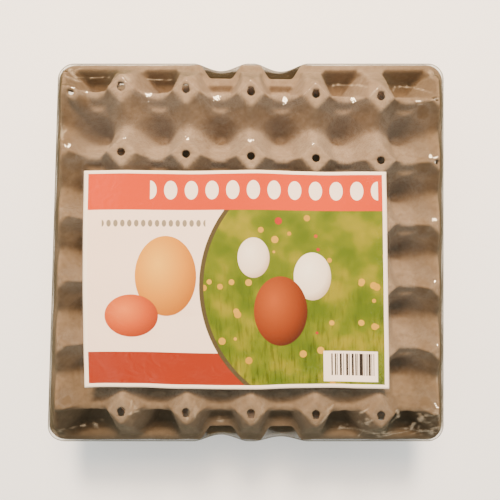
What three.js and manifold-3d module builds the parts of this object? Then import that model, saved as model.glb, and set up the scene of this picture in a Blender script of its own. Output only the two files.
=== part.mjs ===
// A shrink-wrapped pack of 30 eggs: eggs standing in a moulded pulp tray, a second tray of
// the same mould turned a quarter turn and laid on top as the cover, a printed paper label on
// its post tops, and a clear film around everything. Millimetres, +Z up, +X to the right and
// +Y away from the viewer, origin on the surface the pack lies on, under the middle.

import * as THREE from 'three';
import { mergeVertices } from 'three/addons/utils/BufferGeometryUtils.js';
import Module from 'manifold-3d';

const wasm = await Module();
wasm.setup();

// ---- Driving sizes of one tray, in its own frame: six cups along X, five along Y ----
const PITCH_X = 46.9;
const PITCH_Y = 46.1;
const TRAY_HEIGHT = 48;
const WALL = 2;
const TRAY_HALF_X = 150;
const TRAY_HALF_Y = 147;
const CORNER_RADIUS = 12;

// Posts: four-sided pyramids with a diamond top, whose corners point along X and Y. Their
// sides are the walls of the cups.
const DIAMOND = 8.9;
const POST_SLOPE = 1.87;
const MARGIN_POST_SLOPE = 1.57;

// Ridges: a broad crest from post to post along X, between cups that are neighbours along Y.
const CREST_HEIGHT = 35;
const CREST_RISE = 13;
const CREST_REACH = 15;
const RIDGE_EDGE = 30.5;
const RIDGE_HALF = 7.6;
const RIDGE_HALF_OUTER = 4;
const RIDGE_SLOPE = 2.5;

// Rim: a flange, pits behind it, and two finger notches on each long side.
const RIM_HEIGHT = 20;
const FLANGE_INNER_X = 146;
const FLANGE_INNER_Y = 142.5;
const EDGE_POST_SLOPE = 2.8;
const BUTTRESS_SLOPE = 1.5;
const PIT_SLOPE = 2;
const SHELF_HEIGHT = 21;
const NOTCH_DEPTH = 11;
const NOTCH_FLAT = 8.5;
const NOTCH_HALF = 16.5;
const NOTCH_START_Y = 130;

// Vent holes in the post tops of the cover.
const HOLE_RADIUS = 3;
const HOLE_SIDES = 6;
const EDGE_HOLE_RADIUS = 2;
const EDGE_HOLES = [[133.4, 115.25], [133.4, 69.15], [-131.5, 112]];

// ---- The pack: heights from the surface up ----
const FILM = 0.6;
const GAP = 0.3;
const BASE_Z = FILM + GAP;
const COVER_Z = BASE_Z + TRAY_HEIGHT + GAP;
const COVER_TOP = COVER_Z + TRAY_HEIGHT;
const LABEL_THICKNESS = 0.4;
const LABEL_Z = COVER_TOP + GAP;
const FILM_TOP = LABEL_Z + LABEL_THICKNESS + GAP + FILM;

// The left side flares outward toward the front corner, and the cover's posts lean a little.
const FLARE = 8.5;
const FLARE_START_X = 108;
const CENTRE_SHIFT_X = 4.125;

// Eggs of size L, pointed end down.
const EGG_LENGTH = 57;
const EGG_RADIUS = 22;
const EGG_WIDEST = 31;
const EGG_REST = 22.2;
const EGG_SIDES = 8;
const EGG_BANDS = 5;

// Where the film's rings are sampled along the long and the short sides.
const FILM_SAMPLES_X = [-94, -42, -PITCH_X / 2, -6, 6, PITCH_X / 2, 42, 94];
const FILM_SAMPLES_Y = [-80, 0, 80];

// Label corners: left, right, front and back edges.
const LABEL_LEFT = -120.3;
const LABEL_RIGHT = 98;
const LABEL_FRONT = -97.4;
const LABEL_BACK = 58.2;

const PULP = { color: '#b39a80', roughness: 0.95, metalness: 0 };
const SHELL = { roughness: 0.55, metalness: 0 };
const PAPER = { color: '#ff8248', roughness: 0.5, metalness: 0 };
const CLEAR = { color: '#f4f2ee', roughness: 0.08, metalness: 0, transparent: true, opacity: 0.2 };

function clamp(value, low, high) {
  return Math.min(Math.max(value, low), high);
}

function smoothstep(low, high, value) {
  const t = clamp((value - low) / (high - low), 0, 1);
  return t * t * (3 - 2 * t);
}

// Height of the endless lattice of posts and ridges. Cups stand at odd halves of PITCH_X and
// whole multiples of PITCH_Y, and posts at the corners between them. On the outer side of the
// outermost post rows the posts are flatter and the ridges have no ledge.
function latticeHeight(x, y) {
  const column = Math.min(Math.floor(Math.abs(x) / PITCH_X), 2) + 0.5;
  const row = Math.round(Math.abs(y) / PITCH_Y);
  const across = Math.abs(Math.abs(x) - column * PITCH_X);
  const fromPostX = Math.abs(PITCH_X / 2 - across);
  const fromPostY = Math.abs(PITCH_Y / 2 - Math.abs(Math.abs(y) - row * PITCH_Y));
  const slope = row > 2 ? MARGIN_POST_SLOPE : POST_SLOPE;
  const post = TRAY_HEIGHT - (slope * (fromPostX + fromPostY - DIAMOND)) / Math.SQRT2;
  const crest = CREST_HEIGHT + CREST_RISE * (across / CREST_REACH) ** 2;
  const half = row > 2 ? RIDGE_HALF_OUTER : RIDGE_HALF;
  const ridge = Math.min(crest, RIDGE_EDGE + RIDGE_SLOPE * (half - fromPostY));
  return Math.min(Math.max(post, ridge, WALL), TRAY_HEIGHT);
}

// Height of the whole tray's upper face: the lattice, held between a buttress slope that falls
// from the posts to the flange and a wall that falls from the flange into the pits. The two
// middle columns have a shallow shelf in place of a pit.
function trayHeight(x, y) {
  const inX = Math.max(FLANGE_INNER_X - Math.abs(x), 0);
  const inY = Math.max(FLANGE_INNER_Y - Math.abs(y), 0);
  const shelf = Math.abs(x) < PITCH_X && Math.abs(y) > 2.5 * PITCH_Y ? SHELF_HEIGHT : 0;
  const high = RIM_HEIGHT + Math.min(EDGE_POST_SLOPE * inX, BUTTRESS_SLOPE * inY);
  const low = RIM_HEIGHT - PIT_SLOPE * Math.min(inX, inY);
  return Math.max(Math.min(latticeHeight(x, y), high), low, shelf);
}

// Moves a point of the tray's rectangle to the real outline: the finger notches first, then
// round corners, where each square ring of the corner becomes a round one.
function outline(x, y) {
  const off = Math.abs(Math.abs(x) - PITCH_X / 2);
  const depth = NOTCH_DEPTH * (1 - clamp((off - NOTCH_FLAT) / (NOTCH_HALF - NOTCH_FLAT), 0, 1));
  const share = clamp((Math.abs(y) - NOTCH_START_Y) / (TRAY_HALF_Y - NOTCH_START_Y), 0, 1);
  let outX = x;
  let outY = y - Math.sign(y) * depth * share;
  const ax = Math.abs(x) - (TRAY_HALF_X - CORNER_RADIUS);
  const ay = Math.abs(y) - (TRAY_HALF_Y - CORNER_RADIUS);
  if (ax > 0 && ay > 0) {
    const pull = Math.max(ax, ay) / Math.hypot(ax, ay);
    outX = Math.sign(x) * (TRAY_HALF_X - CORNER_RADIUS + ax * pull);
    outY = Math.sign(y) * (TRAY_HALF_Y - CORNER_RADIUS + ay * pull);
  }
  return [outX, outY];
}

// Sample lines: each post, the edges of its plateau and each cup centre, then the rim's lines.
function latticeLines(pitch, posts, extra) {
  const lines = new Set(extra.flatMap((value) => [value, -value]));
  for (const post of posts) {
    for (const offset of [-pitch / 2, -DIAMOND, 0, DIAMOND, pitch / 2]) {
      lines.add(post + offset);
    }
  }
  return [...lines].sort((a, b) => a - b);
}

const POST_COLUMNS = [-2, -1, 0, 1, 2].map((k) => k * PITCH_X);
const POST_ROWS = [-2.5, -1.5, -0.5, 0.5, 1.5, 2.5].map((k) => k * PITCH_Y);
const LINES_X = latticeLines(PITCH_X, POST_COLUMNS, [131.8, 136, 146, 150]);
const LINES_Y = latticeLines(PITCH_Y, POST_ROWS, [133.3, 142.5, 147])
  .filter((y) => Math.abs(Math.abs(y) - 3 * PITCH_Y) > 0.01);

// Upper and lower face of a tray as two sheets of points, the lower one WALL along the normal.
function traySheets() {
  const step = 0.5;
  const upper = [];
  const lower = [];
  for (const y of LINES_Y) {
    for (const x of LINES_X) {
      const z = trayHeight(x, y);
      const slopeX = (trayHeight(x + step, y) - trayHeight(x - step, y)) / (2 * step);
      const slopeY = (trayHeight(x, y + step) - trayHeight(x, y - step)) / (2 * step);
      const normal = new THREE.Vector3(-slopeX, -slopeY, 1).normalize();
      const [ox, oy] = outline(x, y);
      upper.push(new THREE.Vector3(ox, oy, z));
      lower.push(upper.at(-1).clone().addScaledVector(normal, -WALL));
    }
  }
  return { upper, lower };
}

// Two triangles of a quad of the grid, split along the diagonal that lies nearer the surface.
function splitQuad(column, row) {
  const wide = LINES_X.length;
  const a = row * wide + column;
  const b = a + 1;
  const c = a + wide + 1;
  const d = a + wide;
  const x = [LINES_X[column], LINES_X[column + 1]];
  const y = [LINES_Y[row], LINES_Y[row + 1]];
  const middle = trayHeight((x[0] + x[1]) / 2, (y[0] + y[1]) / 2);
  const rising = (trayHeight(x[0], y[0]) + trayHeight(x[1], y[1])) / 2;
  const falling = (trayHeight(x[1], y[0]) + trayHeight(x[0], y[1])) / 2;
  if (Math.abs(rising - middle) < Math.abs(falling - middle)) {
    return [[a, b, c], [a, c, d]];
  }
  return [[a, b, d], [b, c, d]];
}

// Closes two matching sheets into one shell, with a wall on every edge that has one triangle.
function closeSheets(upper, lower, triangles) {
  const count = upper.length;
  const indices = [];
  const edges = new Map();
  for (const [a, b, c] of triangles) {
    indices.push(a, b, c, a + count, c + count, b + count);
    for (const [from, to] of [[a, b], [b, c], [c, a]]) {
      if (!edges.delete(`${to}-${from}`)) {
        edges.set(`${from}-${to}`, [from, to]);
      }
    }
  }
  for (const [from, to] of edges.values()) {
    indices.push(from, from + count, to + count, from, to + count, to);
  }
  return shellGeometry([...upper, ...lower], indices);
}

function shellGeometry(points, indices) {
  const geometry = new THREE.BufferGeometry();
  const flat = points.flatMap((point) => [point.x, point.y, point.z]);
  geometry.setAttribute('position', new THREE.Float32BufferAttribute(flat, 3));
  geometry.setIndex(indices);
  return geometry;
}

function trayGeometry() {
  const { upper, lower } = traySheets();
  const triangles = [];
  for (let row = 0; row < LINES_Y.length - 1; row += 1) {
    for (let column = 0; column < LINES_X.length - 1; column += 1) {
      triangles.push(...splitQuad(column, row));
    }
  }
  return closeSheets(upper, lower, triangles);
}

// ---- Boolean cuts ----
function toSolid(geometry) {
  const bare = geometry.clone();
  bare.deleteAttribute('normal');
  bare.deleteAttribute('uv');
  const merged = mergeVertices(bare, 1e-4);
  const mesh = new wasm.Mesh({
    numProp: 3,
    vertProperties: new Float32Array(merged.attributes.position.array),
    triVerts: new Uint32Array(merged.index.array),
  });
  return new wasm.Manifold(mesh);
}

function toGeometry(solid) {
  const mesh = solid.getMesh();
  const geometry = new THREE.BufferGeometry();
  geometry.setAttribute('position', new THREE.BufferAttribute(mesh.vertProperties, 3));
  geometry.setIndex(new THREE.BufferAttribute(mesh.triVerts, 1));
  return geometry;
}

function upright(radius, height, sides, x, y, z) {
  const cylinder = new THREE.CylinderGeometry(radius, radius, height, sides);
  return cylinder.rotateX(Math.PI / 2).translate(x, y, z);
}

// ---- The pack's own unevenness ----
// The left margin flares outward from nothing at the back to FLARE at the front.
function flare(point) {
  const share = smoothstep(FLARE_START_X, TRAY_HALF_X, -point.x);
  const front = clamp((TRAY_HALF_Y - point.y) / (2 * TRAY_HALF_Y), 0, 1);
  point.x -= FLARE * share * front;
}

// The cover's posts lean along Y by up to 5 mm at their tops, most at the back left.
function lean(point) {
  const across = point.x / (2 * PITCH_X);
  const along = point.y / (2.5 * PITCH_Y);
  const top = 0.1 - 2.6 * across - 1.15 * across * along + 0.7 * along;
  const fade = 1 - smoothstep(2.85 * PITCH_Y, TRAY_HALF_Y, Math.abs(point.y));
  point.y += top * fade * clamp(point.z / TRAY_HEIGHT, 0, 1) ** 2;
}

function warp(geometry, ...moves) {
  const position = geometry.attributes.position;
  const point = new THREE.Vector3();
  for (let index = 0; index < position.count; index += 1) {
    point.fromBufferAttribute(position, index);
    for (const move of moves) {
      move(point);
    }
    position.setXYZ(index, point.x, point.y, point.z);
  }
  return geometry;
}

// ---- Pieces ----
function makeBaseTray() {
  const geometry = trayGeometry().rotateZ(Math.PI / 2).translate(0, 0, BASE_Z);
  return warp(geometry, flare);
}

function makeCoverTray() {
  let solid = toSolid(trayGeometry());
  const holes = [];
  for (const x of POST_COLUMNS) {
    for (const y of POST_ROWS) {
      holes.push([x, y, HOLE_RADIUS]);
    }
  }
  for (const [x, y] of EDGE_HOLES) {
    holes.push([x, y, EDGE_HOLE_RADIUS]);
  }
  for (const [x, y, radius] of holes) {
    solid = solid.subtract(toSolid(upright(radius, 12, HOLE_SIDES, x, y, TRAY_HEIGHT)));
  }
  return warp(toGeometry(solid), lean, flare).translate(0, 0, COVER_Z);
}

// An egg's profile: two half ellipses that meet at the widest ring.
function eggProfile() {
  const points = [];
  for (let band = 0; band <= EGG_BANDS; band += 1) {
    const angle = (Math.PI * band) / EGG_BANDS;
    const reach = -Math.cos(angle);
    const half = reach < 0 ? EGG_WIDEST : EGG_LENGTH - EGG_WIDEST;
    const ring = band === 0 || band === EGG_BANDS ? 0 : EGG_RADIUS * Math.sin(angle);
    points.push(new THREE.Vector2(ring, EGG_WIDEST + half * reach));
  }
  return points;
}

function makeEgg(scale) {
  const geometry = new THREE.LatheGeometry(eggProfile(), EGG_SIDES).rotateX(Math.PI / 2);
  return geometry.scale(scale, scale, scale);
}

// The label's outline: straight sides with a slight bow, thicker in Z than real paper.
function makeLabel() {
  const shape = new THREE.Shape();
  const steps = 8;
  const width = LABEL_RIGHT - LABEL_LEFT;
  const depth = LABEL_BACK - LABEL_FRONT;
  shape.moveTo(LABEL_LEFT, LABEL_FRONT);
  for (let k = 1; k <= steps; k += 1) {
    shape.lineTo(LABEL_LEFT + (width * k) / steps, LABEL_FRONT + 0.5 * Math.sin((3 * k) / 2));
  }
  shape.lineTo(LABEL_RIGHT, LABEL_BACK);
  for (let k = steps - 1; k >= 0; k -= 1) {
    shape.lineTo(LABEL_LEFT + (width * k) / steps, LABEL_BACK + 0.8 * Math.sin((Math.PI * k) / steps));
  }
  shape.lineTo(LABEL_LEFT - 1.2, LABEL_FRONT + depth / 2);
  const geometry = new THREE.ExtrudeGeometry(shape, { depth: LABEL_THICKNESS, bevelEnabled: false });
  return geometry.translate(0, 0, LABEL_Z);
}

// One ring of the film at height z: a rectangle with round corners, drawn in by dip in the
// middle of each of the cover's finger notches. It runs anticlockwise from the front left.
function filmRing({ halfX, halfY, z, radius, dip }, inset) {
  const points = [];
  const corner = (signX, signY, quarter) => {
    for (const bend of [0, 0.5, 1]) {
      const angle = (quarter + bend) * (Math.PI / 2);
      const x = signX * (halfX - radius) + (radius - inset) * Math.cos(angle);
      const y = signY * (halfY - radius) + (radius - inset) * Math.sin(angle);
      points.push(new THREE.Vector3(x, y, z));
    }
  };
  const longSide = (sign) => {
    for (const x of FILM_SAMPLES_X) {
      const drawn = Math.abs(Math.abs(x) - PITCH_X / 2) < 1 ? dip : 0;
      points.push(new THREE.Vector3(-sign * x, sign * (halfY - inset - drawn), z));
    }
  };
  const shortSide = (sign) => {
    for (const y of FILM_SAMPLES_Y) {
      points.push(new THREE.Vector3(sign * (halfX - inset), sign * y, z));
    }
  };
  corner(-1, -1, 2);
  longSide(-1);
  corner(1, -1, 3);
  shortSide(1);
  corner(1, 1, 0);
  longSide(1);
  corner(-1, 1, 1);
  shortSide(-1);
  return points;
}

// The film's closed skin, from the flat underside over both rims to the taut top.
function filmSkin(inset) {
  const rings = [
    { halfX: 136, halfY: 139, z: 0, radius: 12, dip: 0 },
    { halfX: 151.2, halfY: 151.2, z: BASE_Z + RIM_HEIGHT - 4, radius: 11, dip: 0 },
    { halfX: 151.2, halfY: 151.2, z: BASE_Z + RIM_HEIGHT + 1.2, radius: 11, dip: 0 },
    { halfX: 151.2, halfY: 148.2, z: COVER_Z + RIM_HEIGHT - 3, radius: 11, dip: 4.5 },
    { halfX: 151.2, halfY: 148.2, z: COVER_Z + RIM_HEIGHT + 1.2, radius: 11, dip: 4.5 },
    { halfX: 139.5, halfY: 133, z: FILM_TOP, radius: 12, dip: 0 },
  ];
  const points = rings.flatMap((ring, index) => {
    const ends = index === 0 ? inset : 0;
    const top = index === rings.length - 1 ? inset : 0;
    return filmRing({ ...ring, z: ring.z + ends - top }, inset);
  });
  const count = points.length / rings.length;
  const indices = [];
  for (let ring = 0; ring < rings.length - 1; ring += 1) {
    for (let k = 0; k < count; k += 1) {
      const a = ring * count + k;
      const b = ring * count + ((k + 1) % count);
      indices.push(a, b, b + count, a, b + count, a + count);
    }
  }
  const bottom = points.push(new THREE.Vector3(0, 0, inset)) - 1;
  const top = points.push(new THREE.Vector3(0, 0, FILM_TOP - inset)) - 1;
  const last = (rings.length - 1) * count;
  for (let k = 0; k < count; k += 1) {
    indices.push(bottom, (k + 1) % count, k);
    indices.push(top, last + k, last + ((k + 1) % count));
  }
  return shellGeometry(points, indices);
}

// The film is the outer skin less the inner one, with two air vents punched in the top.
function makeFilm() {
  let solid = toSolid(filmSkin(0)).subtract(toSolid(filmSkin(FILM)));
  for (const [x, y] of [[-124, 96], [70, -112]]) {
    solid = solid.subtract(toSolid(upright(1.6, 20, 6, x, y, FILM_TOP)));
  }
  return warp(toGeometry(solid), flare);
}

function piece(name, geometry, look) {
  const mesh = new THREE.Mesh(geometry, new THREE.MeshStandardMaterial(look));
  mesh.name = name;
  return mesh;
}

const pack = new THREE.Group();
pack.position.x = CENTRE_SHIFT_X;
pack.add(piece('base_tray', makeBaseTray(), PULP));
pack.add(piece('cover_tray', makeCoverTray(), PULP));

const EGG_SCALES = [1, 0.97, 0.99, 0.98, 1, 0.96, 0.985];
const EGG_TONES = ['#c68c5f', '#cf9a6e', '#bd8158', '#d3a27b', '#c4895e'];
let egg = 0;
for (const y of [2.5, 1.5, 0.5, -0.5, -1.5, -2.5]) {
  for (const x of [-2, -1, 0, 1, 2]) {
    const tone = EGG_TONES[(egg * 3) % EGG_TONES.length];
    const scale = EGG_SCALES[(egg * 2) % EGG_SCALES.length];
    const name = `egg_${String(egg + 1).padStart(2, '0')}`;
    const mesh = piece(name, makeEgg(scale), { ...SHELL, color: tone });
    mesh.position.set(x * PITCH_Y, y * PITCH_X, BASE_Z + EGG_REST);
    mesh.rotation.z = egg * 0.7;
    pack.add(mesh);
    egg += 1;
  }
}

pack.add(piece('label', makeLabel(), PAPER));
pack.add(piece('film', makeFilm(), CLEAR));

export default pack;
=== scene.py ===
"""A shrink-wrapped pack of thirty eggs: brown eggs standing in a moulded pulp tray, a second
tray of the same mould laid on top as the cover, a printed label on its post tops, and a taut
clear film around it all.

Shapes are worked out in millimetres in the tray's own frame, +X to the right, +Y to the back
and +Z up, and every mesh is moved to the pack's frame in metres at the end. A tray has six
cups along X and five along Y; the base tray is the same mould turned a quarter turn."""

import math

import bpy
import numpy as np
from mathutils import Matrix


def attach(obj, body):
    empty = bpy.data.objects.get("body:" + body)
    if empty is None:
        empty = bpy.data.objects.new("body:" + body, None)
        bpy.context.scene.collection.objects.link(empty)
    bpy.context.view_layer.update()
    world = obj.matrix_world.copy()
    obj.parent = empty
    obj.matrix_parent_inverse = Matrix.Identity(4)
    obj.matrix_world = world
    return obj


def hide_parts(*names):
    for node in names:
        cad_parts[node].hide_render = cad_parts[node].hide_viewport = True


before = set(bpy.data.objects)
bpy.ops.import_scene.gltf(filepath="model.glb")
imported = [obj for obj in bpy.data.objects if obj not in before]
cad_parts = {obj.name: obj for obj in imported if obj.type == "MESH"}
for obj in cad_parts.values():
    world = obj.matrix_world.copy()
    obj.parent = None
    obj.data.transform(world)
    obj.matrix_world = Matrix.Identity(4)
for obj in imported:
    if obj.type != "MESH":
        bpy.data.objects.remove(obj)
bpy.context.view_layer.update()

# ---- The mould ----
PITCH_X, PITCH_Y = 46.9, 46.1
TRAY_HEIGHT = 48.0
WALL = 2.0
THICKNESS = 1.4
HALF_X, HALF_Y = 150.0, 147.0
CORNER_RADIUS = 12.0
DIAMOND = 8.9
RIM_HEIGHT = 20.0
FLANGE_INNER_X, FLANGE_INNER_Y = 146.0, 142.5
SHELF_HEIGHT = 21.0
NOTCH_DEPTH, NOTCH_FLAT, NOTCH_HALF, NOTCH_START_Y = 11.0, 8.5, 16.5, 130.0

# ---- The pack ----
BASE_Z = 0.9
COVER_Z = 49.2
SHIFT_X = 4.125
FLARE, FLARE_START_X = 8.5, 108.0
LABEL_CORNERS = [(-119.6, -97.3), (99.4, -98.0), (97.2, 57.7), (-120.0, 58.8)]
LABEL_WIDE, LABEL_DEEP = 228.4, 163.0  # the print's own units, 0.957 mm each
LABEL_REST = 48.75  # where the label lies, above the cover's floor

EGG_RADIUS = 20.8
EGG_BELOW, EGG_ABOVE = 31.0, 25.0  # from the widest ring to the pointed and the blunt end
EGG_GAP = 0.45
EGG_SCALES = (1, 0.97, 0.99, 0.98, 1, 0.96, 0.985)

# Vent holes: x, y and half width in steps of the cover's grid.
POST_HOLES = [(PITCH_X * i, PITCH_Y * (j - 0.5), 4) for i in range(-2, 3) for j in range(-2, 4)]
EDGE_HOLES = [(134.3, 115.25, 2), (134.3, 69.15, 2), (-130.04, 111.06, 2)]

# The film's half sizes round the cover's rim and round the base tray's rim.
FILM_X, FILM_Y, FILM_CORNER = 150.9, 147.9, 12.5
FOOT_X, FOOT_Y = 148.6, 151.1
RELAXATIONS, FILM_SAG = 2400, 0.0024


# ======================= numbers and noise =======================

def smoothstep(low, high, value):
    """0 below low, 1 above high, and 3t^2 - 2t^3 between them."""
    t = np.clip((value - low) / (high - low), 0.0, 1.0)
    return t * t * (3.0 - 2.0 * t)


def soft_min(a, b, width):
    """The smaller of a and b, with the corner between them rounded over width."""
    h = np.clip(0.5 + 0.5 * (b - a) / width, 0.0, 1.0)
    return b * (1.0 - h) + a * h - width * h * (1.0 - h)


def soft_max(a, b, width):
    """The larger of a and b, with the corner between them rounded over width."""
    return -soft_min(-a, -b, width)


def uneven(x, y, size, seed):
    """Smooth noise from -1 to 1: random values on a lattice of the given size, joined by
    smoothstep weights."""
    table = np.random.default_rng(seed).uniform(-1.0, 1.0, (257, 257))
    gx, gy = np.asarray(x) / size + 1000.37, np.asarray(y) / size + 1000.71
    ix, iy = np.floor(gx).astype(int), np.floor(gy).astype(int)
    tx, ty = smoothstep(0, 1, gx - ix), smoothstep(0, 1, gy - iy)
    ix, iy, jx, jy = ix % 256, iy % 256, (ix + 1) % 256, (iy + 1) % 256
    low = table[ix, iy] * (1 - tx) + table[jx, iy] * tx
    high = table[ix, jy] * (1 - tx) + table[jx, jy] * tx
    return low * (1 - ty) + high * ty


# ======================= the trays =======================

def mould_height(x, y):
    """Height of the mould's upper face.

    Posts are four-sided pyramids, 48 - 1.5 (px + py - 8.9), where px and py are the distances
    from the post's axis; hyperbolas 5.5 mm and 5 mm wide round them off into a ridge and a
    saddle midway between two posts of a column. On the margin side of the outermost rows the
    slope is 1, px counts for less away from the post, and steep side walls 22 - 2.7 (px + 0.48
    py - 19.3) cut the pyramids off, which leaves a pit between two of them. Ridges along X part
    cups that are neighbours along Y: a crest 34.5 + 13.5 (dx / 15.2)^2 high, a step of 6.4 mm
    down to a ledge on each side, and from the ledge's lip a wall of slope 1.3, or 4 on the
    margin side. All is capped at 48, the post tops, and rounded into a shelf 15.5 mm up with an
    oval well 14 mm deep, 31 by 27 mm wide, or into a floor 2 mm up in the pits of the front and
    back margins. Grooves 0.5 mm deep run along the ridges. Outside, a buttress slope falls from
    the posts to the flange, and a wall of slope 1.3 at the cups and 3 to 5 at the pits falls
    inside the flange, with a shelf across the two middle columns."""
    ax, ay = np.abs(x), np.abs(y)
    centre = (np.minimum(np.floor(ax / PITCH_X), 2) + 0.5) * PITCH_X
    dx = np.abs(ax - centre)
    row = np.round(ay / PITCH_Y)
    px = np.abs(PITCH_X / 2 - dx)
    py = np.abs(PITCH_Y / 2 - np.abs(ay - row * PITCH_Y))
    outer = row > 2
    px = px + np.where(outer, 6.0 * smoothstep(118, 128, ax), 0.0)
    width = 1.0 + 4.5 * smoothstep(8, 21, py)
    rounded = np.sqrt(px ** 2 + width ** 2) - width
    across = np.where(outer, px * (1 - 0.4 * smoothstep(3, 16, py)), rounded)
    saddle = PITCH_Y / 2 - np.sqrt((PITCH_Y / 2 - py) ** 2 + 25)
    post = TRAY_HEIGHT - np.where(outer, across + py - DIAMOND, 1.5 * (across + saddle - DIAMOND))
    side = np.where(outer, 22.0 - 2.7 * (px + 0.48 * py - 19.3), 99.0)
    post = soft_min(post, side, 1.2)
    crest = 34.5 + 13.5 * (dx / 15.2) ** 2
    fade = np.where(outer, 0.0, 1.0 - smoothstep(5.5, 9.5, dx))
    top = crest - 0.5 * (np.minimum(py, 2.0) / 2.0) ** 2 - 6.4 * fade * smoothstep(1.4, 5.8, py)
    lip = np.where(outer, 30.3 + 4.0 * (4.0 - py), 28.4 + 1.3 * (7.8 - py))
    ridge = soft_min(top, lip, 0.9)
    lattice = soft_min(soft_max(post, ridge, 1.5), TRAY_HEIGHT, 0.5)
    lattice = soft_max(lattice, np.where(outer, WALL, 15.5), np.where(outer, 3.0, 8.0))
    well = np.hypot((ax - 1.02 * centre) / 15.5, (y - np.round(y / PITCH_Y) * PITCH_Y - 0.6) / 13.5)
    lattice = lattice - np.where(outer, 0.0, 15.0 * (1 - smoothstep(0.08, 1.0, well)))
    lattice = np.maximum(lattice, 1.5)
    groove = np.maximum(1 - px / 1.1, 0) + np.maximum(1 - py / 1.1, 0) * (px < 8.5)
    lattice = lattice - np.where(outer, 0.0, 0.5 * groove * (0.7 + 0.5 * uneven(x, y, 9, 8)))
    in_x = np.maximum(FLANGE_INNER_X - ax, 0.0)
    in_y = np.maximum(FLANGE_INNER_Y - ay, 0.0)
    high = RIM_HEIGHT + np.minimum(2.8 * in_x, 1.5 * in_y)
    low = RIM_HEIGHT - np.minimum((1.3 + 1.7 * smoothstep(112, 122, ay)) * in_x, 5.0 * in_y)
    middle = (ax < PITCH_X) & (ay > 2.5 * PITCH_Y)
    dip = 4.0 * np.exp(-((ay - 126.5) / 2.2) ** 2) * (1 - smoothstep(7, 12, dx))
    shelf = np.where(middle, SHELF_HEIGHT - dip, 0.0)
    return soft_max(soft_max(soft_min(lattice, high, 0.9), low, 0.8), shelf, 0.8)


def cover_height(x, y):
    """The mould, and on the cover a pad 4 mm in radius and 46 mm high beside the back left
    post, which falls off at 3.5 in 1."""
    pad = 46.0 - 3.5 * np.maximum(np.hypot(x + 129.5, y - 111.0) - 4.0, 0.0)
    return soft_max(mould_height(x, y), pad, 1.5)


def tray_outline(x, y):
    """Moves a point of the tray's rectangle to the real outline: the finger notches draw the
    long sides in by 11 mm, and each square ring of a corner becomes a round one."""
    off = np.abs(np.abs(x) - PITCH_X / 2)
    depth = NOTCH_DEPTH * (1 - smoothstep(NOTCH_FLAT - 1, NOTCH_HALF + 0.5, off))
    share = np.clip((np.abs(y) - NOTCH_START_Y) / (HALF_Y - NOTCH_START_Y), 0, 1)
    out_y = y - np.sign(y) * depth * share
    return round_corners(x, out_y, HALF_X, HALF_Y, CORNER_RADIUS)


def round_corners(x, y, half_x, half_y, radius):
    """Inside each corner square, pulls a point toward the corner's centre by the larger of its
    two offsets over their hypotenuse."""
    ax = np.abs(x) - (half_x - radius)
    ay = np.abs(y) - (half_y - radius)
    inside = (ax > 0) & (ay > 0)
    pull = np.where(inside, np.maximum(ax, ay) / np.maximum(np.hypot(ax, ay), 1e-6), 1.0)
    out_x = np.where(inside, np.sign(x) * (half_x - radius + ax * pull), x)
    out_y = np.where(inside, np.sign(y) * (half_y - radius + ay * pull), y)
    return out_x, out_y


def flare(x, y):
    """The left margin flares outward, from nothing at the back to 8.5 mm at the front."""
    share = smoothstep(FLARE_START_X, HALF_X, -x)
    return x - FLARE * share * np.clip((HALF_Y - y) / (2 * HALF_Y), 0, 1)


def lean(x, y, z):
    """The cover's posts lean along Y by up to 5 mm at their tops, most at the back left."""
    across, along = x / 98.0, y / 120.0
    top = 0.1 - 2.6 * across - 1.15 * across * along + 0.7 * along
    fade = 1.0 - smoothstep(131.4, 147.0, np.abs(y))
    return y + top * fade * np.clip(z / TRAY_HEIGHT, 0, 1) ** 2


def grid_lines(inner, outer, steps, margin):
    """Sample lines from -outer to outer: steps of equal length inside +-inner, and margin
    steps from there to +-outer."""
    rim = np.linspace(inner, outer, margin + 1)[1:]
    return np.concatenate([-rim[::-1], np.linspace(-inner, inner, steps + 1), rim])


def ring_indices(columns, left, right, front, back):
    """Indices of the points on a rectangle of a grid, anticlockwise from its front left."""
    i, j = np.arange(left, right), np.arange(front, back)
    return np.concatenate([
        front * columns + i, j * columns + right,
        back * columns + i[::-1] + 1, (j[::-1] + 1) * columns + left,
    ])


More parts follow.
